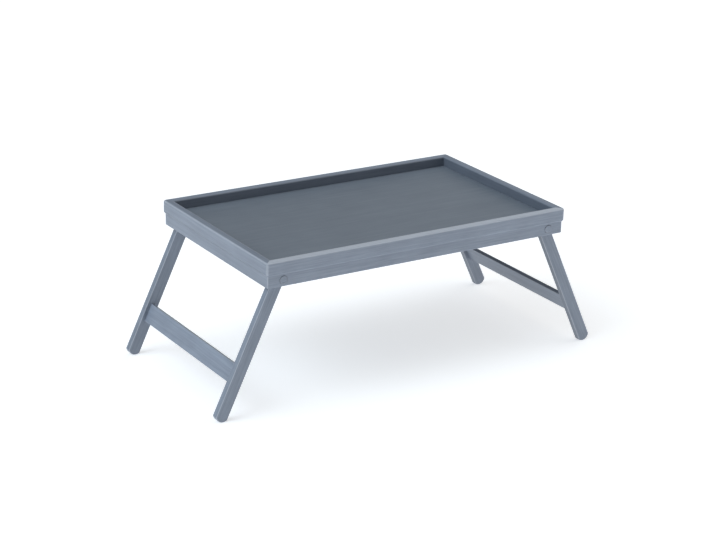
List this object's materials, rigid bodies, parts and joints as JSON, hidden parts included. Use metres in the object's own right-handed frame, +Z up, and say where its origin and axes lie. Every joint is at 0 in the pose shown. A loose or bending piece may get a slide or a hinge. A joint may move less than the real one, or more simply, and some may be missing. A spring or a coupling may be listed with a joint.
{
  "type": "bed tray table",
  "caption": "Rectangular bed tray with a raised moulded rim on two splayed leg frames that fold flat under it.",
  "frame": {"origin": "on the floor, under the middle of the tray, with both leg frames open", "axes": "+X along the length of the tray to the right, +Y from the front rail to the back rail, +Z up"},
  "size_m": [0.6396, 0.312, 0.225],
  "materials": {
    "rail_paint": "matt blue-grey paint over fine wood grain",
    "panel_paint": "matt blue-grey paint over a thin board",
    "leg_paint": "matt blue-grey paint over fine wood grain",
    "stretcher_paint": "matt blue-grey paint over fine wood grain",
    "plug_paint": "matt blue-grey paint over end grain",
    "fastener_steel": "zinc plated, satin"
  },
  "bodies": {
    "tray": {"rail_front": "rail_paint", "rail_back": "rail_paint", "rail_left": "rail_paint", "rail_right": "rail_paint", "floor_panel": "panel_paint", "corner_nails": "fastener_steel", "pivot_bolt_front_left": "fastener_steel", "pivot_bolt_front_right": "fastener_steel", "pivot_bolt_back_left": "fastener_steel", "pivot_bolt_back_right": "fastener_steel", "pivot_plug_front_left": "plug_paint", "pivot_plug_front_right": "plug_paint", "pivot_plug_back_left": "plug_paint", "pivot_plug_back_right": "plug_paint", "spacer_washers": "fastener_steel", "nut_washers": "fastener_steel", "lock_nuts": "fastener_steel"},
    "left_leg_frame": {"leg_front_left": "leg_paint", "leg_back_left": "leg_paint", "stretcher_left": "stretcher_paint"},
    "right_leg_frame": {"leg_front_right": "leg_paint", "leg_back_right": "leg_paint", "stretcher_right": "stretcher_paint"}
  },
  "joints": [
    {"name": "left_leg_fold", "type": "hinge", "parent": "tray", "child": "left_leg_frame", "pos_m": [-0.22243, 0, 0.1966], "axis": [0, -1, 0], "range_deg": [0, 115]},
    {"name": "right_leg_fold", "type": "hinge", "parent": "tray", "child": "right_leg_frame", "pos_m": [0.22243, 0, 0.1966], "axis": [0, 1, 0], "range_deg": [0, 115]}
  ]
}
